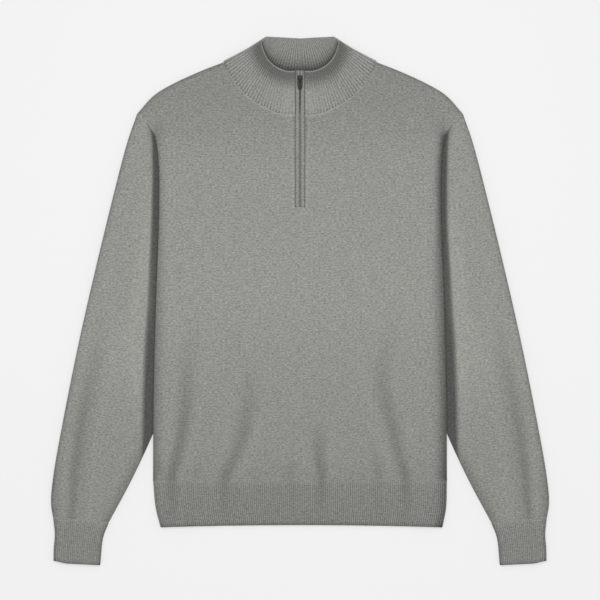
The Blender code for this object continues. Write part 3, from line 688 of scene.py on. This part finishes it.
def make_cuff(name, side, node, look):
    """A short ribbed tube with a rounded lower edge."""
    outer_line, inner_line = Line(CUFF_OUTER), Line(CUFF_INNER)
    ribs, per_rib, rows = 54, 6, 24
    ribs_run = np.arange(ribs * per_rib + 1) / per_rib
    ridge = rib(ribs_run, 1.0)
    radius = CUFF_TOP / 2
    loops, normals, shades = [], [], []
    for level in np.linspace(0, 1, rows) ** ROWS_DOWN:
        outer_end, inner_end = outer_line.at(level), inner_line.at(level)
        width = np.linalg.norm(inner_end - outer_end)
        if level == 1:
            outer_end = outer_end + np.array([0.0, RIB_WALL / 2])
            inner_end = inner_end + np.array([0.0, RIB_WALL / 2])
        straight = width - 2 * radius
        run = ribs_run / ribs * (2 * straight + 2 * pi * radius)
        away, height, out_away, out_up = np.array(
            [round_flat_tube(s, straight, radius) for s in run], float).T
        across = (inner_end - outer_end) / width
        grow = 0.25 + 0.75 * float(step_between((0, 0.1), level))
        depth = 0.6 * grow * (1 - ridge) * np.where(out_up < -0.5, 0.35, 1)
        depth += 0.1 * (1 - float(step_between((0, 0.06), level))) * (out_up > -0.5)
        plan = outer_end + across * away[:, None]
        plan[:, 1] -= 3.0 * level ** 3 * smooth(away / 22)
        out = np.concatenate([across * out_away[:, None], out_up[:, None]], -1)
        loops.append(np.concatenate([plan, height[:, None]], -1) - out * depth[:, None])
        normals.append(out)
        by_edge = 0.30 * near(np.minimum(away, width - away), 4.0)
        shades.append(0.96 - 0.30 * (1 - ridge) * grow - by_edge
                      - 0.28 * float(step_between((0.93, 1), level)))
    shade = np.array(shades)
    points = closed_up(with_wall(np.array(loops), np.array(normals), RIB_WALL))
    rim_shade = np.full((RIM_ROWS, shade.shape[1]), 0.55)
    shade = closed_up(np.concatenate([shade, rim_shade, shade[::-1] * 0.7]))
    across = np.repeat((ribs_run * RIB_PITCH)[None, :], len(points), 0)
    down = np.repeat(lengths(points[:, 0])[:, None], len(ribs_run), 1)
    points[..., 0] *= side
    piece = cloth(name, points, np.stack([across, down], -1), shade, look, loop_u=True,
                  loop_v=True)
    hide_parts(node)
    return piece


# ---------------------------------------------------------------- collar

def collar_lines():
    """Half of the collar's seam and of its rim, from the zip round to the middle of the back."""
    rim_front, rim_back = Line(RIM_FRONT), Line(RIM_BACK)
    seam, rim = [], []
    for along in np.linspace(0, 1, 8):
        plan = neck_front.at(along) + neck_front.outward(along) * 0.05
        seam.append((max(plan[0], RIM_FRONT[0][0]), plan[1],
                     mix(*COLLAR_SEAM_TOP, along * along)))
        rim.append(rim_front.at(along))
    seam += list(COLLAR_FOLD_SEAM)
    rim += list(COLLAR_FOLD_RIM)
    for along in np.linspace(1, 0, 5)[1:]:
        plan = neck_back.at(along) + np.array([0, 2 * SEAM_GAP])
        seam.append((plan[0], plan[1], 0.0))
        rim.append(rim_back.at(1 - along))
    found = []
    for rows in (seam, rim):
        line = curve(rows, 40)
        line[:, 2] = np.maximum(line[:, 2], 0)
        found.append(line)
    return found


def make_collar(look):
    """The stand collar: one ribbed band, folded double over its rim."""
    per_rib, rows, rim_rows = 8, 30, 7
    seam_line, rim_line = collar_lines()
    reach = lengths(0.6 * seam_line + 0.4 * rim_line)
    count = int(lengths(seam_line)[-1] / COLLAR_PITCH) * per_rib
    goal = np.linspace(0, reach[-1], count + 1)
    seam_at, rim_at = (np.stack([np.interp(goal, reach, c) for c in line.T], -1)
                       for line in (seam_line, rim_line))
    level = np.linspace(0, 1, rows)[:, None]
    rim_share = 1 - COLLAR_WALL / 2 / np.linalg.norm(rim_at - seam_at, axis=-1)
    rise = level * rim_share[None, :]
    half = seam_at + (rim_at - seam_at) * rise[..., None]
    half[..., 2] = mix(seam_at[:, 2], rim_at[:, 2], rise ** COLLAR_RISE)
    at_fold = step_between((352, 362), seam_at[:, 1]) * step_between((30, 90), seam_at[:, 0])
    half[..., 0] -= COLLAR_WAIST * np.sin(pi * np.minimum(1, rise * 0.9)) * at_fold
    whole = np.concatenate([half, half[:, :-1][:, ::-1] * [-1, 1, 1]], 1)
    across = np.gradient(whole, axis=1)
    across[:, (0, -1), 1:] = 0
    normal = np.cross(across, np.gradient(whole, axis=0))
    normal /= np.linalg.norm(normal, axis=-1, keepdims=True)

    columns = whole.shape[1]
    run = np.arange(columns) / per_rib
    groove = 1 - rib(run, 1.0)[None, :]
    front = np.abs(np.arange(columns) - (columns - 1) / 2) / ((columns - 1) / 2)
    by_zip = 1 - 0.62 * near((1 - front) * reach[-1], 38.0)
    by_rim = 1 - 0.5 * step_between((0.72, 1.0), level)
    grow = 0.7 + 0.3 * step_between((0, 0.05), level)
    nip = 0.15 * (1 - step_between((0, 0.04), level))
    upward = (normal[..., 2] > -0.5) * 0.8 + 0.2
    depth = (0.95 * groove * by_zip[None, :] * by_rim * grow + nip) * upward
    outer = whole - normal * depth[..., None]
    inner_relief = 0.5 * groove * (0.3 + 0.7 * step_between((0.1, 0.3), level))
    inner = whole - normal * (COLLAR_WALL - inner_relief[..., None])
    rim = rounded_rim(whole, normal, COLLAR_WALL, rim_rows)
    points = closed_up(np.concatenate([outer, rim, inner[::-1]]))
    points[..., 2] = np.maximum(points[..., 2], 0)

    # Painted shade on the collar: the outer face is darker in the rib grooves, most of all in the
    # grooves just above the seam, a little darker near its base and much darker on the steep face
    # below the rim; the inner face carries a painted shadow under the front rim.
    steep = step_between((0.50, 0.92), level) * np.clip(whole[..., 2] / 12, 0, 1)
    seam_groove_shade = 0.30 * groove * (1 - step_between((0.02, 0.09), level))
    base = 0.07 * (1 - step_between((0.1, 0.4), level))
    out_shade = (1.18 - base - 0.44 * groove * grow * by_zip * (1 - 0.5 * steep)
                 - 0.62 * steep - seam_groove_shade)
    mouth_y = Line(RIM_FRONT).y_at(np.abs(whole[..., 0]))
    over_rim = 0.55 * np.maximum(whole[..., 1] - mouth_y, 0)
    in_shade = (1.16 - 0.52 * groove) * (1 - 0.64 * np.exp(-(over_rim / 7.5) ** 1.5))
    rim_shade = np.full((rim_rows, columns), 0.86)
    shade = closed_up(np.concatenate([out_shade, rim_shade, in_shade[::-1]]))
    u = np.repeat((run * COLLAR_PITCH)[None, :], len(points), 0)
    v = np.repeat(lengths(points[:, columns // 4])[:, None], columns, 1)
    piece = cloth("collar_cloth", points, np.stack([u, v], -1), np.clip(shade, 0.25, 1.1), look,
                  loop_v=True)
    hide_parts("collar")
    return piece


# ---------------------------------------------------------------- zip

def zip_line(y):
    """Height and slope of the middle of the front and collar at Y."""
    seam_y, rim_y = NECK_FRONT[0][1], RIM_FRONT[0][1]
    rise = RIM_FRONT[0][2] - FRONT_TOP
    share = np.clip((y - seam_y) / (rim_y - seam_y), 0, None)
    slope = rise * COLLAR_RISE * share ** (COLLAR_RISE - 1) / (rim_y - seam_y)
    slope = np.where(share > 0, slope, 0.0)
    return FRONT_TOP + rise * share ** COLLAR_RISE, slope


def welt_inner(y):
    return mix(1.1, 4.0, smooth((y - 312) / 10))


# Painted shade: the welts darken as they climb the collar's steep front.
def welt_painted_shade(y):
    return 0.95 - 0.3 * step_between((318, 342), y)


def tape_inner(y):
    return mix(TAPE_INNER, 0.3, step_between((333, 336), y))


def tape_tone(y):
    return 1 + 0.8 * step_between((332, 335), y)


# A band's inner edge, the radius of its foot's outer corner, how deep it lies, how much
# its edges fall away, its wall and its tone along its length, which goes into its colour: painted
# shade on the welts, lighter at the top of the tape
Band = namedtuple("Band", "inner_edge corner depth crown wall tone")
WELT = Band(welt_inner, 2.6, 0.0, 0.8, WELT_WALL, welt_painted_shade)
TAPE = Band(tape_inner, 1.0, KNIT_WALL + SEAM_GAP, 0.0, TAPE_WALL, tape_tone)


def make_band(name, side, band, node, look):
    """A narrow band beside the zip, its face crowned between its two edges."""
    columns = 11
    foot = PLACKET_BOTTOM_Y + SEAM_GAP
    seam_y, rim_y = NECK_FRONT[0][1], RIM_FRONT[0][1]
    y = np.concatenate([foot + 3 * np.linspace(0, 1, 9)[:-1] ** 1.6,
                        np.linspace(foot + 3, seam_y, 60)[:-1],
                        np.linspace(seam_y, rim_y - 0.2, 44)])
    height, slope = zip_line(y)
    normal = np.stack([np.zeros_like(y), -slope, np.ones_like(y)], -1)
    normal /= np.linalg.norm(normal, axis=-1, keepdims=True)
    share = np.linspace(0, 1, columns)
    inner = band.inner_edge(y)
    round_off = np.clip(1 - (y - foot) / band.corner, 0, 1)
    outer = WELT_OUTER - band.corner * (1 - np.sqrt(1 - round_off * round_off))
    x = side * (inner[:, None] + (outer - inner)[:, None] * share[None, :])
    along = np.repeat(y[:, None], columns, 1)
    away = np.abs(share - 0.5) * 2
    sink = band.depth + band.crown * away ** 4
    ends = 0.35 * (1 - step_between((0, 1.5), y - PLACKET_BOTTOM_Y))
    points = np.stack([x, along, np.repeat(height[:, None], columns, 1)], -1)
    points = points - normal[:, None, :] * (sink[None, :] + ends[:, None])[..., None]
    # Painted shade: the band darkens towards both of its edges.
    shade = band.tone(y)[:, None] * (1 - 0.32 * away[None, :] ** 3)
    piece = cloth(name, points, np.stack([x, along], -1), shade, look,
                  wall=band.wall, up=1)
    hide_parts(node)
    return piece


def make_teeth(name, side, look):
    """Zip teeth on one tape's edge, meshed with the other side's below the slider."""
    bm = bmesh.new()
    tooth = bmesh.new()
    bmesh.ops.create_cube(tooth, size=1.0, matrix=Matrix.Diagonal((*TOOTH_SIZE, 1)))
    top = [e for e in tooth.edges if all(v.co.z > 0 for v in e.verts)]
    bmesh.ops.bevel(tooth, geom=top, offset=0.22, segments=1, profile=0.5, affect="EDGES",
                    material=-1)
    shape = bpy.data.meshes.new("tooth")
    tooth.to_mesh(shape)
    tooth.free()
    y = PLACKET_BOTTOM_Y + 2.5 + (0 if side > 0 else TOOTH_PITCH / 2)
    while y < TEETH_TOP_Y:
        height, slope = zip_line(np.array(y))
        first = len(bm.verts)
        bm.from_mesh(shape)
        bm.verts.ensure_lookup_table()
        made = bm.verts[first:]
        turn = Matrix.Rotation(atan2(float(slope), 1.0), 4, "X")
        x = side * (0.55 if y < TEETH_CLOSED_Y else TAPE_INNER)
        bmesh.ops.transform(bm, matrix=turn, verts=made)
        normal = Vector((0, -float(slope), 1)).normalized()
        spot = Vector((x, y, float(height))) - normal * 1.85
        bmesh.ops.translate(bm, vec=spot, verts=made)
        y += TOOTH_PITCH * cos(atan2(float(slope), 1.0))
    bmesh.ops.scale(bm, vec=(MM, MM, MM), verts=bm.verts)
    mesh = bpy.data.meshes.new(name)
    bm.to_mesh(mesh)
    bm.free()
    bpy.data.meshes.remove(shape)
    mesh.materials.append(look)
    thing = add_object(name, mesh)
    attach(thing, "sweater")
    return thing


# ---------------------------------------------------------------- materials

def set_inputs(node, values):
    """Plain values for a shader node's own sockets, by name."""
    for name, value in values.items():
        node.inputs[name].default_value = value


def heather_group():
    """Heathered yarn: long soft flecks, faint larger patches and a stitch relief."""
    group = bpy.data.node_groups.new("heathered_yarn", "ShaderNodeTree")
    face = group.interface
    for name, kind, value in (("Light", "NodeSocketColor", (0.35, 0.35, 0.33, 1)),
                              ("Dark", "NodeSocketColor", (0.2, 0.2, 0.19, 1)),
                              ("Fleck", "NodeSocketFloat", 1.0),
                              ("Stitch", "NodeSocketFloat", 1.0)):
        socket = face.new_socket(name, in_out="INPUT", socket_type=kind)
        socket.default_value = value
    face.new_socket("Color", in_out="OUTPUT", socket_type="NodeSocketColor")
    face.new_socket("Height", in_out="OUTPUT", socket_type="NodeSocketFloat")
    nodes, links = group.nodes, group.links
    given, given_out = nodes.new("NodeGroupInput"), nodes.new("NodeGroupOutput")
    uv = nodes.new("ShaderNodeUVMap")
    uv.uv_map = "cloth"

    def noise(scale, size, detail, rough, shift):
        """Soft noise drawn out across the knit where the first scale is the smaller."""
        place = nodes.new("ShaderNodeMapping")
        set_inputs(place, {"Scale": (*scale, 1), "Location": (shift, shift * 0.7, 0)})
        links.new(uv.outputs["UV"], place.inputs["Vector"])
        cloud = nodes.new("ShaderNodeTexNoise")
        cloud.noise_dimensions = "2D"
        set_inputs(cloud, {"Scale": size, "Detail": detail, "Roughness": rough})
        links.new(place.outputs["Vector"], cloud.inputs["Vector"])
        return cloud.outputs["Fac"]

    def bands(direction, size, distortion):
        wave = nodes.new("ShaderNodeTexWave")
        wave.wave_type = "BANDS"
        wave.bands_direction = direction
        set_inputs(wave, {"Scale": size, "Distortion": distortion})
        links.new(uv.outputs["UV"], wave.inputs["Vector"])
        return wave.outputs["Fac"]

    def maths(operation, a, b, c=None):
        node = nodes.new("ShaderNodeMath")
        node.operation = operation
        for socket, value in zip(node.inputs, (a, b, c)):
            if value is None:
                continue
            if isinstance(value, (int, float)):
                socket.default_value = value
            else:
                links.new(value, socket)
        return node.outputs["Value"]

    fleck = noise((1.12, 2.3), 230, 3.0, 0.7, 0.0)
    dash = noise((0.3, 1.9), 230, 1.0, 0.5, 5.3)
    fibre = noise((0.5, 2.4), 620, 1.0, 0.5, 3.1)
    patch = noise((1.0, 1.6), 34, 2.0, 0.55, 7.7)
    mixed = maths("MULTIPLY_ADD", fleck, 0.72, maths("MULTIPLY", fibre, 0.28))
    centred = maths("MULTIPLY_ADD", maths("SUBTRACT", dash, 0.5), 0.16,
                    maths("SUBTRACT", mixed, 0.5))
    strong = maths("MULTIPLY", centred, given.outputs["Fleck"])
    broad = maths("MULTIPLY_ADD", maths("SUBTRACT", patch, 0.5), 0.10, strong)
    share = maths("ADD", broad, 0.5)
    blend = nodes.new("ShaderNodeMix")
    blend.data_type = "RGBA"
    blend.clamp_factor = True
    links.new(share, blend.inputs[0])
    links.new(given.outputs["Dark"], blend.inputs[6])
    links.new(given.outputs["Light"], blend.inputs[7])
    links.new(blend.outputs[2], given_out.inputs["Color"])
    wales, courses = bands("X", 195, 0.6), bands("Y", 260, 1.2)
    stitch = maths("MULTIPLY", maths("ADD", wales, courses), 0.5)
    stitched = maths("MULTIPLY", stitch, given.outputs["Stitch"])
    links.new(maths("MULTIPLY_ADD", mixed, 0.8, stitched), given_out.inputs["Height"])
    return group


def cloth_material(name, group, light, dark, fleck, stitch, bump, roughness=0.95, sheen=0.12):
    """Yarn from the shared group, its colour multiplied by each piece's painted shade and painted
    highlights.
    """
    material = bpy.data.materials.new(name)
    material.use_nodes = True
    nodes, links = material.node_tree.nodes, material.node_tree.links
    shader = nodes["Principled BSDF"]
    yarn = nodes.new("ShaderNodeGroup")
    yarn.node_tree = group
    set_inputs(yarn, {"Light": (*light, 1), "Dark": (*dark, 1), "Fleck": fleck,
                      "Stitch": stitch})
    shade = nodes.new("ShaderNodeAttribute")
    shade.attribute_name = "shade"
    dim = nodes.new("ShaderNodeMix")
    dim.data_type = "RGBA"
    dim.blend_type = "MULTIPLY"
    dim.inputs[0].default_value = 1.0
    links.new(yarn.outputs["Color"], dim.inputs[6])
    links.new(shade.outputs["Fac"], dim.inputs[7])
    links.new(dim.outputs[2], shader.inputs["Base Color"])
    relief = nodes.new("ShaderNodeBump")
    set_inputs(relief, {"Strength": bump, "Distance": 0.0006})
    links.new(yarn.outputs["Height"], relief.inputs["Height"])
    links.new(relief.outputs["Normal"], shader.inputs["Normal"])
    set_inputs(shader, {"Roughness": roughness, "Specular IOR Level": 0.25,
                        "Sheen Weight": sheen, "Sheen Roughness": 0.5})
    return material


def metal_material(name, colour, roughness, fine):
    """Dark plated metal with a slight grain and lighter rubbed spots scattered at random."""
    material = bpy.data.materials.new(name)
    material.use_nodes = True
    nodes, links = material.node_tree.nodes, material.node_tree.links
    shader = nodes["Principled BSDF"]
    place = nodes.new("ShaderNodeTexCoord")
    cloud = nodes.new("ShaderNodeTexNoise")
    set_inputs(cloud, {"Scale": fine, "Detail": 3})
    links.new(place.outputs["Object"], cloud.inputs["Vector"])
    tint = nodes.new("ShaderNodeValToRGB")
    tint.color_ramp.elements[0].position = 0.3
    tint.color_ramp.elements[0].color = (*[c * 0.8 for c in colour], 1)
    tint.color_ramp.elements[1].position = 0.75
    tint.color_ramp.elements[1].color = (*[min(1, c * 1.35) for c in colour], 1)
    links.new(cloud.outputs["Fac"], tint.inputs["Fac"])
    links.new(tint.outputs["Color"], shader.inputs["Base Color"])
    spread = nodes.new("ShaderNodeMapRange")
    set_inputs(spread, {"To Min": roughness - 0.06, "To Max": roughness + 0.10})
    links.new(cloud.outputs["Fac"], spread.inputs["Value"])
    links.new(spread.outputs["Result"], shader.inputs["Roughness"])
    shader.inputs["Metallic"].default_value = 1.0
    return material


# ---------------------------------------------------------------- the sweater

yarn_group = heather_group()
knit = cloth_material("heathered_knit", yarn_group, (0.360, 0.365, 0.336), (0.140, 0.142, 0.131),
                      2.35, 0.3, 0.5)
ribbed = cloth_material("heathered_rib", yarn_group, (0.355, 0.360, 0.331), (0.140, 0.142, 0.131),
                        2.3, 0.35, 0.4)
tape = cloth_material("woven_tape", yarn_group, (0.185, 0.181, 0.186), (0.110, 0.107, 0.111),
                      0.6, 0.8, 0.3, roughness=0.85, sheen=0.0)
gunmetal = metal_material("gunmetal", (0.072, 0.072, 0.078), 0.20, 900)
tooth_metal = metal_material("tooth_metal", (0.165, 0.163, 0.167), 0.45, 1500)

front = make_front(knit)
back = make_back(knit)
hem_front = make_hem("hem_rib_front_cloth", FRONT, "hem_rib_front", ribbed)
hem_back = make_hem("hem_rib_back_cloth", BACK, "hem_rib_back", ribbed)
collar = make_collar(ribbed)
sleeves, cuffs, zip_pieces = [], [], []
for word, side in (("left", -1), ("right", 1)):
    sleeves.append(make_sleeve("sleeve_%s_cloth" % word, side, "sleeve_" + word, knit))
    cuffs.append(make_cuff("cuff_%s_cloth" % word, side, "cuff_" + word, ribbed))
    zip_pieces.append(make_band("zip_welt_%s_cloth" % word, side, WELT, "zip_welt_" + word,
                                ribbed))
    zip_pieces.append(make_band("zip_tape_%s_cloth" % word, side, TAPE, "zip_tape_" + word,
                                tape))
    zip_pieces.append(make_teeth("zip_teeth_" + word, side, tooth_metal))

for node in ("zip_slider", "zip_pull"):
    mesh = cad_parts[node].data
    mesh.materials.clear()
    mesh.materials.append(gunmetal)

# ---------------------------------------------------------------- floor, light, camera

FLOOR_HALF = 3.0
FLOOR_BELOW = 0.0004        # keeps the floor clear of the cloth's underside
floor_bm = bmesh.new()
bmesh.ops.create_grid(floor_bm, x_segments=1, y_segments=1, size=FLOOR_HALF)
bmesh.ops.translate(floor_bm, vec=(0, 0, -FLOOR_BELOW), verts=floor_bm.verts)
floor_mesh = bpy.data.meshes.new("floor")
floor_bm.to_mesh(floor_mesh)
floor_bm.free()
floor = add_object("floor", floor_mesh)
paper = bpy.data.materials.new("pale_paper")
paper.use_nodes = True
set_inputs(paper.node_tree.nodes["Principled BSDF"], {
    "Base Color": (0.39, 0.39, 0.39, 1), "Roughness": 1.0, "Specular IOR Level": 0.0,
    "Emission Color": (1, 1, 1, 1), "Emission Strength": 0.445})
floor_mesh.materials.append(paper)

world = bpy.data.worlds.new("soft_room")
bpy.context.scene.world = world
world.use_nodes = True
set_inputs(world.node_tree.nodes["Background"], {"Color": (1, 1, 1, 1), "Strength": 0.62})

LAMP_PLACE = (0.0, 0.25, 2.6)
lamp = bpy.data.lights.new("overhead", "AREA")
lamp.shape = "SQUARE"
lamp.size = 1.6
lamp.energy = 42
overhead = add_object("overhead", lamp)
overhead.location = LAMP_PLACE
overhead.rotation_euler = (-Vector(LAMP_PLACE)).to_track_quat("-Z", "Y").to_euler()

VIEW_WIDTH = 0.900
CAMERA_HEIGHT = 12.0
CLOTH_HEIGHT = 0.006
SENSOR = 36
lens = bpy.data.cameras.new("camera")
lens.sensor_width = SENSOR
lens.lens = SENSOR * (CAMERA_HEIGHT - CLOTH_HEIGHT) / VIEW_WIDTH
camera = add_object("camera", lens)
camera.location = (0, 0, CAMERA_HEIGHT)
camera.rotation_euler = (0, 0, 0)
bpy.context.scene.camera = camera
bpy.context.scene.view_settings.view_transform = "Standard"
